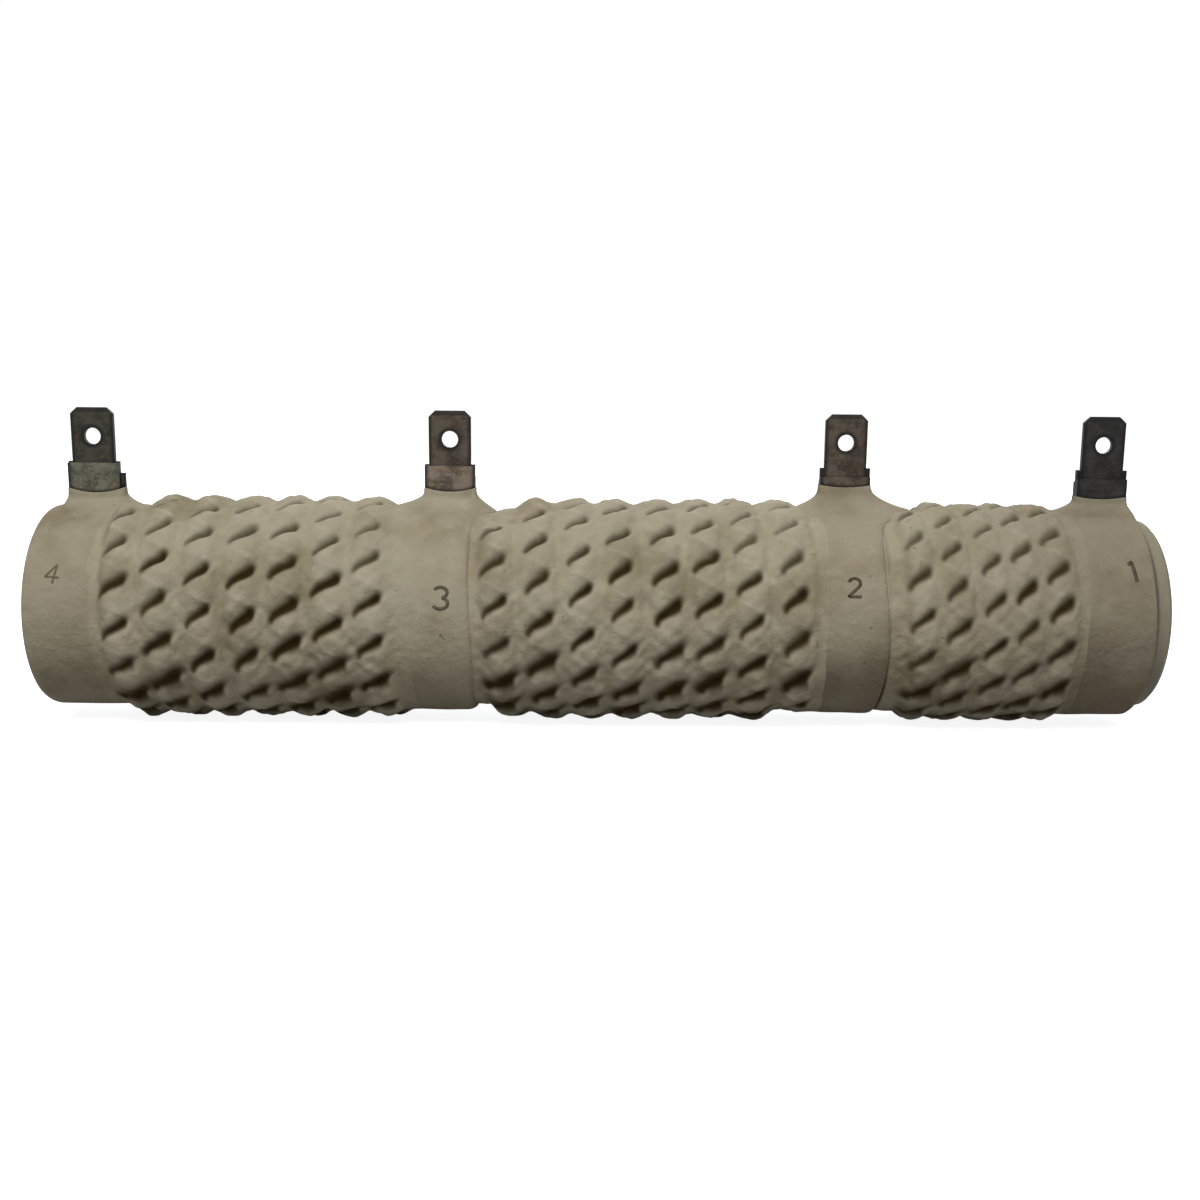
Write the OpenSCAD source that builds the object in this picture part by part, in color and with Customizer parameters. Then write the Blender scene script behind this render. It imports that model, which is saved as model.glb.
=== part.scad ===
// Tubular wire-wound power resistor that sets the speeds of a vehicle's blower motor.
// A ceramic tube carries three flattened coils of resistance wire in series, four metal bands
// with push-on blades at the ends and at the two taps, and one coat of cement over the windings.
// The tube lies along X, its middle is the origin and the blades point to +Z.

/* [Core tube] */
// Length of the ceramic tube, mm
core_len = 167; // [120:1:240]
// Outer diameter of the ceramic tube, mm
core_od = 28.6; // [22:0.1:40]
// Diameter of the mounting bore through the tube, mm
core_bore = 19; // [8:0.5:21]
// Edge break on the tube's end faces, mm
core_break = 0.6; // [0.2:0.1:1.2]

/* [Terminal bands] */
// Distance from a tube end to the middle of the outer terminals, mm
end_inset = 7; // [6:0.1:12]
// Distance from terminal 4 to terminal 3, mm
span_4_3 = 53.9; // [40:0.1:58]
// Distance from terminal 2 to terminal 1, mm
span_2_1 = 39.1; // [32:0.1:44]
// Width of the metal strip that is wrapped round the tube, mm
strip_w = 7.6; // [6.4:0.1:8.4]
// Thickness of that strip, mm
strip_t = 0.5; // [0.3:0.05:0.8]
// Height of the ears of terminals 4 and 3 above the band, mm
ear_tall = 7; // [5.2:0.1:9]
// Height of the ears of terminals 2 and 1 above the band, mm
ear_short = 5.9; // [5.2:0.1:8]
// Height of the rear ear of each band above the band, mm
ear_rear = 5.4; // [5:0.1:8]
// Sideways step of the rear ear of terminal 4, mm
ear_step = 0.6; // [0:0.1:1]

/* [Blades] */
// Width of the push-on blade, mm
blade_w = 6.35; // [4.8:0.05:6.4]
// Length of the blade above its shoulders, mm
blade_len = 8.1; // [6.5:0.1:10]
// Thickness of the blade, mm
blade_t = 0.8; // [0.5:0.1:1]
// Height of the shoulders above the band, mm
shoulder_h = 7.2; // [6:0.1:9]
// Chamfer of the blade's two corners, mm
blade_corner = 0.95; // [0.4:0.05:1.4]
// Bevel on the faces of the blade's leading edge, mm
blade_bevel = 0.25; // [0.1:0.05:0.3]
// Diameter of the detent hole, mm
hole_d = 2.5; // [1.6:0.1:3]
// Distance from the blade's tip to the middle of the hole, mm
hole_down = 4.3; // [3:0.1:5]

/* [Windings] */
// Lead of the winding between terminals 4 and 3 for one turn, mm
pitch_4_3 = 6.1; // [5:0.05:7]
// Lead of the winding between terminals 3 and 2 for one turn, mm
pitch_3_2 = 6.2; // [5:0.05:7]
// Lead of the winding between terminals 2 and 1 for one turn, mm
pitch_2_1 = 5; // [4.4:0.05:6]
// Distance from the end of the sleeve to the middle of the first loop after terminal 4, mm
lead_4_3 = 1.35; // [1.2:0.05:4]
// The same distance after terminal 3, mm
lead_3_2 = 2.25; // [1.2:0.05:4]
// The same distance after terminal 2, mm
lead_2_1 = 3.5; // [1.2:0.05:4]
// Angle of the first loop after terminal 4, up from the numbered side, degrees
start_4_3 = 78.5; // [0:0.5:180]
// The same angle after terminal 3, degrees
start_3_2 = 69.5; // [0:0.5:180]
// The same angle after terminal 2, degrees
start_2_1 = 108.5; // [0:0.5:180]
// Rows of the surface in one turn round the tube, three to a loop
rows = 49; // [37:6:55]
// Width of the resistance wire, mm
wire_w = 1.1; // [0.6:0.1:1.4]
// Thickness of the resistance wire, mm
wire_t = 0.34; // [0.2:0.02:0.36]
// Width of the coil's loops as a share of the turn's lead
loop_share = 0.66; // [0.5:0.02:0.7]

/* [Coating] */
// Length of bare tube at each end, mm
coat_bare = 2.5; // [1.5:0.1:2.6]
// Thickness of the coat on the tube, mm
coat_t = 1.25; // [1.2:0.05:1.4]
// Thickness of the coat over the bands, mm
collar_t = 1; // [0.9:0.05:1.4]
// Height of the loops' crests above the tube, mm
crest_h = 2.7; // [2:0.05:3.2]
// Height of the pockets between the loops above the tube, mm
valley_h = 1.5; // [1.5:0.05:1.7]
// Thinnest coat over the windings, mm
shell_t = 0.5; // [0.45:0.05:0.55]
// Height of the neck of coat on terminal 4 above the band, mm
neck_4 = 2.8; // [2.4:0.1:4.6]
// Height of the neck of coat on terminals 3 and 1 above the band, mm
neck_3_1 = 3.4; // [2.4:0.1:4.6]
// Height of the neck of coat on terminal 2 above the band, mm
neck_2 = 4.5; // [2.4:0.1:4.6]
// Radius of the hollow at the foot of the necks, along the tube, mm
neck_r = 3; // [2:0.1:3.5]
// The same radius on terminal 2, mm
neck_r_2 = 4.6; // [2:0.1:5]
// Wall of coat round the ears, mm
neck_wall = 0.45; // [0.3:0.05:0.6]

/* [Fits] */
// Gap between pieces that lie against each other, mm
seat = 0.02; // [0.01:0.01:0.04]

/* [Hidden] */
$fn = 64;
core_r = core_od / 2;
band_ri = core_r + seat;
band_ro = band_ri + strip_t;
base_r = core_r + coat_t;
collar_r = band_ro + collar_t;
valley_r = core_r + valley_h;
crest_r = core_r + crest_h;
pocket_r = valley_r - shell_t;
coat_end = core_len / 2 - coat_bare;
end_x = core_len / 2 - end_inset;
band_x = [-end_x, -end_x + span_4_3, end_x - span_2_1, end_x];
front_ear = [ear_tall, ear_tall, ear_short, ear_short];
rear_step = [ear_step, 0, 0, 0];
neck_h = [neck_4, neck_3_1, neck_2, neck_3_1];
foot_r = [neck_r, neck_r, neck_r_2, neck_r];
pitch = [pitch_4_3, pitch_3_2, pitch_2_1];
lead = [lead_4_3, lead_3_2, lead_2_1];
start = [start_4_3, start_3_2, start_2_1];
slot_y = blade_t / 2 + seat;
ear_y = slot_y + strip_t;
// Half the width of the smooth collar over a band, and the gap beside it where a winding begins
collar_w = strip_w / 2 + 0.35;
collar_gap = 0.3;
// The coil's first and last loops stay this far inside their part of the coat
ramp = 0.25;
// How far a collar reaches into the sleeve beside it
lap = 0.12;
// Length of the rounded end of the coat, and the hollow at the foot of the necks round the tube
end_round = 0.6;
neck_ry = 2.2;
per_loop = 3;
loop_deg = 360 * per_loop / rows;
// Across one turn: the columns' places and their turn along the slant of the pockets, in loops
col_u = [0, 0.28, 0.72, 1];
col_turn = [0, -0.14, 0.14, 0];
// The rows of a loop are its upper edge, its crest and the pocket below it: their heights on the turn
// and between two turns, as shares of the crest, and their turn towards the pocket above, in loops
row_on = [0.9, 1, 0];
row_off = [0.25, 0.32, 0.2];
row_turn = [0.12, 0, 0];
// Columns that the end of a sleeve squeezes stay this far apart
squeeze = 0.12;

function polar(x, deg, r) = [x, -r * cos(deg), r * sin(deg)];
function unit(v) = v / norm(v);

// Ends of the sleeve of coat over winding i, and the number of loops that fit in it
function sleeve_a(i) = band_x[i] + collar_w + collar_gap;
function sleeve_b(i) = band_x[i + 1] - collar_w - collar_gap;
function loops(i) = floor(((sleeve_b(i) - sleeve_a(i) - ramp - lead[i]) / pitch[i] - 0.5) * rows / per_loop);
// Middle and angle of the turn at row k
function row_x(i, k) = sleeve_a(i) + lead[i] + pitch[i] * k / rows;
function row_deg(i, k) = start[i] - 360 * k / rows;

module along_x(length, r) {
    rotate([0, 90, 0])
        cylinder(h = length, r = r, center = true);
}

module core_tube() {
    half = core_len / 2;
    bore_r = core_bore / 2;
    color([0.72, 0.69, 0.62])
        rotate([0, 90, 0])
            rotate_extrude()
                polygon([
                    [bore_r + core_break, -half], [core_r - core_break, -half],
                    [core_r, core_break - half], [core_r, half - core_break],
                    [core_r - core_break, half], [bore_r + core_break, half],
                    [bore_r, half - core_break], [bore_r, core_break - half]
                ]);
}

// A flattened coil of wire: each loop rises over its front and returns along the tube
module winding(i) {
    n = loops(i);
    back_r = (core_r + seat + wire_t / 2) / cos(loop_deg / 3) + seat;
    front_r = pocket_r - seat - wire_t / 2;
    reach = pitch[i] * loop_share / 2 - wire_w / 2;
    first = sleeve_a(i) + 2 * ramp + wire_w / 2;
    loop_pts = [
        for (l = [0 : n])
            let (k = l * per_loop, x = row_x(i, k), a = row_deg(i, k))
                each [
                    polar(x + reach, a + loop_deg / 4, back_r),
                    polar(x, a, front_r),
                    polar(max(first, x - reach), a - loop_deg / 4, back_r)
                ]
    ];
    lead_a = polar(band_x[i] + strip_w / 2 + seat, row_deg(i, 0) + loop_deg * 0.4, back_r);
    lead_b = polar(band_x[i + 1] - strip_w / 2 - seat, row_deg(i, n * per_loop) - loop_deg * 0.4, back_r);
    path = concat([lead_a], loop_pts, [lead_b]);
    last = len(path) - 1;
    pts = [
        for (j = [0 : last])
            let (
                p = path[j],
                t = j == 0 || j == last ? [1, 0, 0] : unit(path[j + 1] - path[j - 1]),
                up = unit([0, p[1], p[2]]),
                side = unit(cross(t, up)),
                top = unit(cross(side, t))
            )
                each [
                    p + top * wire_t / 2,
                    p - top * wire_t / 2 + side * wire_w / 2,
                    p - top * wire_t / 2 - side * wire_w / 2
                ]
    ];
    walls = [
        for (j = [0 : last - 1])
            for (s = [0 : 2])
                let (a = 3 * j + s, b = 3 * j + (s + 1) % 3)
                    each [[a, a + 3, b + 3], [a, b + 3, b]]
    ];
    color([0.55, 0.5, 0.45])
        polyhedron(pts, concat(walls, [[0, 1, 2], [3 * last + 2, 3 * last + 1, 3 * last]]));
}

module winding_4_3() {
    winding(0);
}

module winding_3_2() {
    winding(1);
}

module winding_2_1() {
    winding(2);
}

// A strip round the tube whose two ends stand up as ears on both sides of the blade
module band(i) {
    color([0.42, 0.39, 0.35])
        translate([band_x[i], 0, 0])
            rotate([90, 0, 90])
                difference() {
                    union() {
                        linear_extrude(strip_w, center = true)
                            difference() {
                                union() {
                                    circle(r = band_ro);
                                    translate([-ear_y, 0])
                                        square([strip_t, band_ro + front_ear[i]]);
                                }
                                circle(r = band_ri);
                            }
                        translate([0, 0, rear_step[i]])
                            linear_extrude(strip_w, center = true)
                                translate([slot_y, band_ri + strip_t / 2])
                                    square([strip_t, ear_rear + strip_t / 2]);
                    }
                    translate([-slot_y, 0, -strip_w])
                        cube([2 * slot_y, core_od * 2, 2 * strip_w]);
                }
}

module band_4() {
    band(0);
}

module band_3() {
    band(1);
}

module band_2() {
    band(2);
}

module band_1() {
    band(3);
}

// A push-on blade with a wider root that stands between the ears
module blade(i) {
    foot = band_ri + strip_t / 2;
    shoulder = band_ro + shoulder_h;
    tip = shoulder + blade_len;
    w = blade_w / 2;
    root = strip_w / 2;
    color([0.3, 0.28, 0.25])
        translate([band_x[i], 0, 0])
            intersection() {
                rotate([90, 0, 0])
                    linear_extrude(2 * blade_t, center = true)
                        difference() {
                            polygon([
                                [-root, foot], [root, foot], [root, shoulder], [w, shoulder],
                                [w, tip - blade_corner], [w - blade_corner, tip],
                                [blade_corner - w, tip], [-w, tip - blade_corner],
                                [-w, shoulder], [-root, shoulder]
                            ]);
                            translate([0, tip - hole_down])
                                circle(d = hole_d);
                        }
                rotate([90, 0, 90])
                    linear_extrude(2 * strip_w, center = true)
                        polygon([
                            [-blade_t / 2, foot - 1], [blade_t / 2, foot - 1],
                            [blade_t / 2, tip - 2 * blade_bevel], [blade_t / 2 - blade_bevel, tip],
                            [blade_bevel - blade_t / 2, tip], [-blade_t / 2, tip - 2 * blade_bevel]
                        ]);
            }
}

module blade_4() {
    blade(0);
}

module blade_3() {
    blade(1);
}

module blade_2() {
    blade(2);
}

module blade_1() {
    blade(3);
}

// The smooth part of the coat over band i: thin on the tube, thicker in a collar over the strip
module collar(i) {
    bx = band_x[i];
    brk = collar_r - base_r;
    inner = band_ro + seat;
    lip = core_r + seat;
    edge = strip_w / 2 + seat;
    left = i == 0
        ? [[inner, bx - edge], [lip, bx - edge], [lip, -coat_end], [core_r + 0.5, -coat_end],
            [collar_r, end_round - coat_end]]
        : [[inner, sleeve_b(i - 1) - lap], [base_r, sleeve_b(i - 1) - lap], [base_r, bx - collar_w],
            [collar_r, bx - collar_w + brk]];
    right = i == 3
        ? [[collar_r, coat_end - end_round], [core_r + 0.5, coat_end], [lip, coat_end], [lip, bx + edge],
            [inner, bx + edge]]
        : [[collar_r, bx + collar_w - brk], [base_r, bx + collar_w], [base_r, sleeve_a(i) + lap],
            [inner, sleeve_a(i) + lap]];
    rotate([0, 90, 0])
        rotate_extrude()
            polygon(concat(left, right));
}

// The coat that creeps up the ears of a terminal, hollow at its foot
module neck(i) {
    low = core_r + 0.3;
    top = band_ro + neck_h[i];
    hx = strip_w / 2 + neck_wall;
    hy = ear_y + neck_wall;
    foot = foot_r[i];
    x_a = max(-coat_end, band_x[i] - hx - foot) - band_x[i];
    x_b = min(coat_end, band_x[i] + hx + foot + rear_step[i]) - band_x[i];
    translate([band_x[i], 0, 0])
        difference() {
            intersection() {
                rotate([90, 0, 0])
                    linear_extrude(4 * hy + 4 * neck_ry, center = true)
                        difference() {
                            translate([x_a, low])
                                square([x_b - x_a, top - low]);
                            for (e = [hx + rear_step[i], -hx])
                                translate([e + sign(e) * foot, low + foot]) {
                                    circle(r = foot);
                                    translate([-foot, 0])
                                        square([2 * foot, top]);
                                }
                        }
                rotate([90, 0, 90])
                    linear_extrude(core_od, center = true)
                        difference() {
                            translate([-hy - neck_ry, low])
                                square([2 * (hy + neck_ry), top - low]);
                            for (e = [hy, -hy])
                                translate([e + sign(e) * neck_ry, low + neck_ry]) {
                                    circle(r = neck_ry);
                                    translate([-neck_ry, 0])
                                        square([2 * neck_ry, top]);
                                }
                        }
            }
            along_x(2 * core_od, pocket_r + 0.3 * shell_t);
        }
}

// The sleeve of coat over winding i: a sheet whose rows follow the winding's helix, with a slanted
// pocket between every two loops and a trough between turns, round an open space for the wire
module sleeve(i) {
    cols = len(col_u) - 1;
    last = loops(i) * per_loop;
    p = pitch[i];
    a = sleeve_a(i);
    b = sleeve_b(i);
    ring_r = valley_r - 0.1 * shell_t;
    space_r = pocket_r / cos(180 / rows);
    lip_r = band_ro + 6 * seat;
    extra = cols * (last + 1);
    rings = extra + rows;
    function place(k, c) = let (
        m = k % per_loop,
        share = c == 0 || c == cols ? row_off[m] : row_on[m],
        x = max(a + squeeze * (c + 1), row_x(i, k) + p * (col_u[c] - 0.5)),
        deg = row_deg(i, k) + loop_deg * (col_turn[c] + row_turn[m])
    ) polar(x, deg, valley_r + (crest_r - valley_r) * share);
    function at(k, c) =
        c < cols ? cols * k + c : k + rows <= last ? cols * (k + rows) : extra + k - (last - rows + 1);
    // The rings run from the outer edge of one end, through the inside, to the outer edge of the other
    section = [[a, ring_r], [a, lip_r], [a + ramp, space_r], [b - ramp, space_r], [b, lip_r], [b, ring_r]];
    function on(n, k) = rings + n * rows + k % rows;
    pts = concat(
        [for (k = [0 : last]) for (c = [0 : cols - 1]) place(k, c)],
        [for (k = [last - rows + 1 : last]) place(k, cols)],
        [for (q = section) for (k = [0 : rows - 1]) polar(q[0], row_deg(i, k), q[1])]
    );
    sheet = [
        for (k = [0 : last - 1])
            for (c = [0 : cols - 1])
                each [[at(k, c), at(k, c + 1), at(k + 1, c + 1)], [at(k, c), at(k + 1, c + 1), at(k + 1, c)]]
    ];
    rim_a = [
        for (k = [0 : rows - 1])
            each [[on(0, k), at(k, 0), at(k + 1, 0)], [on(0, k), at(k + 1, 0), on(0, k + 1)]]
    ];
    rim_b = [
        for (k = [last - rows : last - 1])
            each [[at(k, cols), on(5, k), on(5, k + 1)], [at(k, cols), on(5, k + 1), at(k + 1, cols)]]
    ];
    step_a = [for (c = [cols - 1 : -1 : 0]) [on(0, 0), at(0, c + 1), at(0, c)]];
    step_b = [for (c = [0 : cols - 1]) [on(5, last), at(last, c), at(last, c + 1)]];
    inside = [
        for (n = [0 : 4])
            for (k = [0 : rows - 1])
                each [[on(n, k), on(n, k + 1), on(n + 1, k + 1)], [on(n, k), on(n + 1, k + 1), on(n + 1, k)]]
    ];
    polyhedron(pts, concat(sheet, rim_a, rim_b, step_a, step_b, inside));
}

module coating() {
    color([0.6, 0.57, 0.49])
        union() {
            for (i = [0 : 3])
                difference() {
                    union() {
                        collar(i);
                        neck(i);
                    }
                    translate([band_x[i] - strip_w / 2 - seat, -ear_y - seat, 0])
                        cube([strip_w + 2 * seat + rear_step[i], 2 * (ear_y + seat), core_od * 2]);
                }
            for (i = [0 : 2])
                sleeve(i);
        }
}

core_tube();
winding_4_3();
winding_3_2();
winding_2_1();
band_4();
band_3();
band_2();
band_1();
blade_4();
blade_3();
blade_2();
blade_1();
coating();
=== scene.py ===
import math
from collections import namedtuple

import bpy
import numpy as np
from mathutils import Matrix, Vector


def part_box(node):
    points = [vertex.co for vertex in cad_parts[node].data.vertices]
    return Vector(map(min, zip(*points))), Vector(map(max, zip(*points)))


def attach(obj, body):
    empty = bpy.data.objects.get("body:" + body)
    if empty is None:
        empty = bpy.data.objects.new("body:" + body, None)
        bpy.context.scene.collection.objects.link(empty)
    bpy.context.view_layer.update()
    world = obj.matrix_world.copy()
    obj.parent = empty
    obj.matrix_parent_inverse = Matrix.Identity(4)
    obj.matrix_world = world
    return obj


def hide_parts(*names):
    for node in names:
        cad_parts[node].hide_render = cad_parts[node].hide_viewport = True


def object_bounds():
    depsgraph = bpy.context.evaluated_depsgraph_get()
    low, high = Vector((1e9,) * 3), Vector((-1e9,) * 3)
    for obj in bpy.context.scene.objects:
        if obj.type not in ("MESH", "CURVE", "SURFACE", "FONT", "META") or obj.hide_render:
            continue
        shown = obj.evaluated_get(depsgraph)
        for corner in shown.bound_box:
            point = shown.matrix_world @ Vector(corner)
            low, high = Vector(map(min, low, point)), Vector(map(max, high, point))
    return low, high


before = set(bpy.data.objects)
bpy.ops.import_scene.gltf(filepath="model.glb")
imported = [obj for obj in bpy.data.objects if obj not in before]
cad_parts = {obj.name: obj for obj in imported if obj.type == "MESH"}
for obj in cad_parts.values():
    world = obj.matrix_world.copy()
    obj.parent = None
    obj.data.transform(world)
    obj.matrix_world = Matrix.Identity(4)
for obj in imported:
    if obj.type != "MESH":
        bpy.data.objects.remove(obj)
CAD_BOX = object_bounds()

bl_info = {
    "name": "Blower motor resistor",
    "version": (1, 0, 0),
    "blender": (4, 5, 0),
    "location": "3D View > Sidebar > Resistor",
    "description": "Dresses a tubular wire-wound resistor with its coat, metals, numbers and stage",
    "category": "Object",
}

MM = 0.001
TAU = 2.0 * math.pi
TERMINALS = ("4", "3", "2", "1")


# Sizes from the frame, in millimetres


def along_tube(node):
    """Middle of a frame node's box along the tube, and half its width."""
    low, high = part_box(node)
    return 0.5 * (low.x + high.x) / MM, 0.5 * (high.x - low.x) / MM


BAND_X = {t: along_tube("band_" + t)[0] for t in TERMINALS}
BAND_HALF = {t: along_tube("band_" + t)[1] for t in TERMINALS}
BLADE_X = {t: along_tube("blade_" + t)[0] for t in TERMINALS}
BLADE_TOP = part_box("blade_4")[1].z / MM
CORE_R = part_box("core_tube")[1].z / MM
COAT_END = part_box("coating")[1].x / MM
FLOOR_Z = CAD_BOX[0].z / MM


# Settings


def srgb(red, green, blue):
    """Scene-linear colour of a display colour from 0 to 255."""
    c = np.array([red, green, blue]) / 255.0
    return tuple(np.where(c <= 0.04045, c / 12.92, ((c + 0.055) / 1.055) ** 2.4).tolist())


def length_prop(name, text, value):
    """A length, written here in millimetres and kept in metres."""
    return bpy.props.FloatProperty(
        name=name, description=text, default=value * MM, min=0.0, max=0.1, precision=5,
        subtype="DISTANCE", unit="LENGTH",
    )


def colour_prop(name, text, value):
    """A scene-linear colour."""
    return bpy.props.FloatVectorProperty(
        name=name, description=text, default=value, size=3, subtype="COLOR", min=0.0, max=1.0
    )


def power_prop(name, text, value):
    """Power of a lamp in watts."""
    return bpy.props.FloatProperty(name=name, description=text, default=value, min=0.0, unit="POWER")


class ResistorCoatSettings(bpy.types.PropertyGroup):
    """Sizes and colours of the cement coat."""

    floor: length_prop("Floor radius", "Radius of the coat between the loops", 15.32)
    collar: length_prop("Collar radius", "Radius of the coat over the bands", 15.82)
    unevenness: length_prop("Unevenness", "Height of the slow waves of the coat", 0.07)
    body: colour_prop("Cement", "Colour of the clean cement", srgb(169, 162, 141))
    # Also the painted highlight on the crests low on the tube, on the thin ridges and on collar 3's right lip
    pale: colour_prop("Dust", "Colour of rubbed, dusty cement", srgb(190, 182, 162))
    stain: colour_prop("Stain", "Colour of the stains that heat leaves", srgb(138, 129, 105))
    # Heat stain, and also the painted shade on the lower part of the collars
    scorch_and_shade: colour_prop("Scorch", "Colour of the coat that has been hottest", srgb(104, 92, 78))
    rosy: colour_prop("Rosy", "Colour of the faint reddish patches", srgb(170, 157, 136))
    # Painted shade, with some soiling, in the pockets under the loops and in the groove beside a collar; also
    # the small random pits
    grime_and_shade: colour_prop("Grime", "Colour of the dirt in the pockets under the loops", srgb(53, 40, 15))


class ResistorMetalSettings(bpy.types.PropertyGroup):
    """Colours of the metal pieces, of the core and of the ink."""

    olive: colour_prop("Blade 4", "Dark olive oxide", srgb(55, 55, 47))
    brown: colour_prop("Blades 3 and 2", "Red-brown oxide", srgb(73, 66, 57))
    black: colour_prop("Blade 1", "Nearly black oxide", srgb(41, 40, 38))
    ceramic: colour_prop("Ceramic", "Colour of the bare tube", srgb(147, 141, 122))
    ink: colour_prop("Ink", "Colour of the printed numbers", srgb(58, 48, 36))


class ResistorStageSettings(bpy.types.PropertyGroup):
    """Camera and light."""

    lens: bpy.props.FloatProperty(
        name="Focal length", description="Lens for a sensor 36 mm wide", default=42.0, unit="CAMERA"
    )
    eye: bpy.props.FloatVectorProperty(
        name="Eye", description="Where the camera stands", default=(-0.00105, -0.21299, 0.04042),
        size=3, subtype="TRANSLATION", unit="LENGTH"
    )
    tilt: bpy.props.FloatVectorProperty(
        name="Tilt", description="Pitch down, turn to the right and roll of the camera",
        default=(math.radians(10.416), math.radians(0.376), math.radians(0.569)), size=3, subtype="EULER"
    )
    key: power_prop("Key light", "Power of the soft light above", 2.15)
    back: power_prop("Back light", "Power of the light from behind", 1.1)
    fill: bpy.props.FloatProperty(
        name="Fill", description="Strength of the light from all round", default=0.168, min=0.0
    )


CoatSizes = namedtuple("CoatSizes", "floor collar unevenness")


def coat_sizes(settings):
    """The coat's sizes in millimetres, as its surfaces use them."""
    return CoatSizes(settings.floor / MM, settings.collar / MM, settings.unevenness / MM)


# Meshes


def mesh_piece(name, points, quads, values=None):
    """Makes one piece of a list of points in millimetres and a list of four-cornered faces.

    values holds one number per point for each named attribute that a material reads.
    """
    mesh = bpy.data.meshes.new(name)
    mesh.vertices.add(len(points))
    mesh.vertices.foreach_set("co", (points * MM).astype(np.float32).ravel())
    mesh.loops.add(4 * len(quads))
    mesh.loops.foreach_set("vertex_index", quads.astype(np.int32).ravel())
    mesh.polygons.add(len(quads))
    mesh.polygons.foreach_set("loop_start", np.arange(0, 4 * len(quads), 4, dtype=np.int32))
    mesh.polygons.foreach_set("use_smooth", np.ones(len(quads), dtype=bool))
    for key, numbers in (values or {}).items():
        attribute = mesh.attributes.new(key, "FLOAT", "POINT")
        attribute.data.foreach_set("value", numbers.astype(np.float32).ravel())
    mesh.update(calc_edges=True)
    mesh.validate()
    piece = bpy.data.objects.new(name, mesh)
    bpy.context.scene.collection.objects.link(piece)
    return piece


def ring_quads(rows, columns):
    """Outward faces of a grid that closes in both directions, for points numbered row by row."""
    r, c = np.meshgrid(np.arange(rows), np.arange(columns), indexing="ij")
    a = r * columns + c
    b = r * columns + (c + 1) % columns
    d = ((r + 1) % rows) * columns + c
    e = ((r + 1) % rows) * columns + (c + 1) % columns
    return np.stack([d, e, b, a], -1).reshape(-1, 4)


def strip_quads(count, start):
    """Faces of a strip of four-cornered sections, closed at both ends, its points numbered from start."""
    k, c = np.meshgrid(np.arange(count - 1), np.arange(4), indexing="ij")
    a = 4 * k + c
    b = 4 * k + (c + 1) % 4
    walls = np.stack([a, a + 4, b + 4, b], -1).reshape(-1, 4)
    last = 4 * count - 4
    caps = np.array([[0, 1, 2, 3], [last + 3, last + 2, last + 1, last]])
    return np.concatenate([walls, caps]) + start


def smooth(t):
    """Smooth step of t from 0 to 1."""
    t = np.clip(t, 0.0, 1.0)
    return t * t * (3.0 - 2.0 * t)


def bell(t):
    """Bell curve of t, 1 at its middle."""
    return np.exp(-(t ** 2))


def round_tube(rows, columns):
    """Angles of a grid with its rows round the tube, in degrees up from its numbered side."""
    return np.repeat(np.arange(rows)[:, None] * 360.0 / rows - 180.0, columns, 1)


def rise_of(angle):
    """Angle above the axis, from -90 under the tube to 90 on top of it, alike in front and behind."""
    return np.degrees(np.arcsin(np.sin(np.radians(angle))))


# Coat

# The windings in order, lengths in mm and angles in degrees up from the numbered side
# ends: where the sleeve of coat over it begins and stops along the tube
# start, stop: angles at which its first turn begins and its last one stops
# cross, angle: where its turns cross the numbered side, and the angle of the loop nearest to each crossing
# reach, depth: how far a pocket reaches to either side of its turn's middle, and how deep it is
# upper, lower: how far a pocket's slope goes above its line and below it
# crest: radius of the coat on the loops; grime and shade: how much painted shade, with some soiling, lies in
# the pockets
# ridge: height of the thin ridges between pockets; fill: share by which valleys between turns are filled
# sink and gutter shade: how much lower the coat beside its left collar is, and how much painted shade, with
# some soiling, lies in the groove there
WINDINGS = (
    {
        "name": "4_3", "ends": (-73.2, -27.4), "start": 84.0, "stop": -157.0,
        "cross": (-69.4, -63.4, -57.25, -50.9, -44.95, -38.8, -32.95),
        "angle": (-2.3, 10.8, 3.3, 2.5, 8.3, -1.9, 10.2),
        "reach": 1.65, "depth": 1.6, "upper": 2.5, "lower": 1.05, "crest": 17.05,
        "grime_and_shade": 1.0, "ridge": 0.13, "fill": 0.0, "sink": 0.0, "gutter_shade": 0.0,
    },
    {
        "name": "3_2", "ends": (-19.1, 33.0), "start": 66.0, "stop": -60.0,
        "cross": (-14.75, -8.3, -2.2, 3.7, 10.3, 16.2, 22.2, 28.7),
        "angle": (10.8, 1.2, 15.8, 7.8, 6.4, 11.8, 0.6, 14.2),
        "reach": 1.55, "depth": 1.6, "upper": 2.5, "lower": 1.05, "crest": 17.05,
        "grime_and_shade": 1.0, "ridge": 0.13, "fill": 0.0, "sink": 0.5, "gutter_shade": 0.25,
    },
    {
        "name": "2_1", "ends": (41.4, 70.6), "start": 84.0, "stop": -150.0,
        "cross": (46.85, 52.05, 57.4, 62.0, 66.9),
        "angle": (5.5, -0.6, 12.5, -1.3, 9.8),
        "reach": 1.4, "depth": 1.15, "upper": 2.0, "lower": 0.9, "crest": 16.75,
        "grime_and_shade": 0.92, "ridge": 0.06, "fill": 0.7, "sink": 0.0, "gutter_shade": 0.8,
    },
)
# Angle from loop to loop of a turn (degrees), and the radii at which loops and waves are measured (mm)
LOOP_STEP = 22.0
LOOP_R = 16.2
WAVE_R = 16.0
# Seed and count of the small differences between loops
LOOP_SEED = 40
LOOP_VARIANTS = 400
# How sharply two banks meet in a valley; the phase of a loop at which a pocket's line ends, and its pieces
VALLEY = 2.5
LINE_END = 1.95
LINE_PIECES = 10
# Height of a ridge that is painted all pale (mm)
RIDGE_FULL = 0.13
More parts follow.
